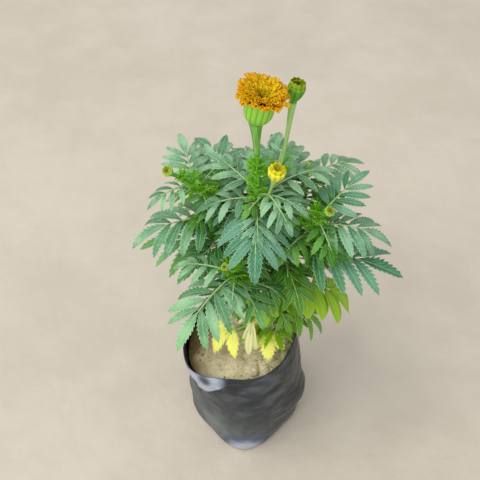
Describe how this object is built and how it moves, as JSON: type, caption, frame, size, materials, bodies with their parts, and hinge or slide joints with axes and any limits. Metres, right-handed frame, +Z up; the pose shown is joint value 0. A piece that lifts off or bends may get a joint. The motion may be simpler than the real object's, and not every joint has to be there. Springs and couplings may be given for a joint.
{
  "type": "potted french marigold",
  "caption": "Young French marigold in a black film nursery bag: ferny leaves on branched stems, an open orange-yellow bloom on a tall stalk, green buds, sandy soil",
  "frame": {"origin": "middle of the bag's flat base, on the surface that it stands on", "axes": "+Z up; -Y to the viewer, the side that the picture was taken from; +X to the viewer's right"},
  "size_m": [0.2083, 0.2017, 0.3618],
  "materials": {
    "film": "thin black polythene film, satin, dusty, with creases and a paler folded lip",
    "soil": "dry sandy soil with crumbs and small clods, darker where it is moist and shaded",
    "stem": "living green stems with fine lengthwise ribs, reddish-brown low on the plant",
    "leaf": "blue-green leaf blade with a soft silvery sheen and pale yellow-green veins",
    "leaf_old": "older leaf blade turning yellow-green",
    "leaf_yellow": "spent leaf blade, bright yellow with greenish veins",
    "leaf_dried": "dried leaf blade, pale straw, matt and papery",
    "cup": "ribbed green flower cup with darker grooves",
    "petals": "orange-yellow petals, velvety, deeper orange at their outer edges",
    "eye": "yellow-green unopened florets round a dark dip",
    "bud_petals": "greenish-yellow petal tips closing the buds"
  },
  "bodies": {
    "root": {"grow_bag": "film", "soil": "soil", "stem": "stem", "leaf_back": "leaf", "leaf_back_far": "leaf", "leaf_back_left": "leaf", "leaf_back_low": "leaf", "leaf_back_right": "leaf", "leaf_centre_left": "leaf", "leaf_centre_right": "leaf", "leaf_dried": "leaf_dried", "leaf_front": "leaf", "leaf_front_inner": "leaf", "leaf_front_upper": "leaf", "leaf_left": "leaf", "leaf_left_back": "leaf", "leaf_left_far": "leaf", "leaf_left_inner": "leaf", "leaf_left_low": "leaf", "leaf_left_upper": "leaf", "leaf_low_front": "leaf", "leaf_low_left": "leaf", "leaf_old_front": "leaf_old", "leaf_old_right": "leaf_old", "leaf_rear": "leaf", "leaf_rear_low": "leaf", "leaf_right": "leaf", "leaf_right_far": "leaf", "leaf_right_front": "leaf", "leaf_right_inner": "leaf", "leaf_right_under": "leaf", "leaf_right_upper": "leaf", "leaf_stem_back": "leaf", "leaf_stem_far": "leaf", "leaf_stem_front": "leaf", "leaf_stem_left": "leaf", "leaf_stem_low": "leaf", "leaf_stem_right": "leaf", "leaf_top_back": "leaf", "leaf_upper_left": "leaf", "leaf_upper_right": "leaf", "leaf_yellow": "leaf_yellow", "leaf_yellow_left": "leaf_yellow", "bloom_cup": "cup", "bloom_petals": "petals", "bloom_eye": "eye", "bud_back_left_cup": "cup", "bud_back_left_petals": "bud_petals", "bud_back_right_cup": "cup", "bud_back_right_petals": "bud_petals", "bud_front_cup": "cup", "bud_front_petals": "bud_petals", "bud_left_cup": "cup", "bud_left_petals": "bud_petals", "bud_near_cup": "cup", "bud_near_petals": "bud_petals", "bud_right_cup": "cup", "bud_right_petals": "bud_petals", "bud_tall_cup": "cup", "bud_tall_petals": "bud_petals"}
  },
  "joints": []
}
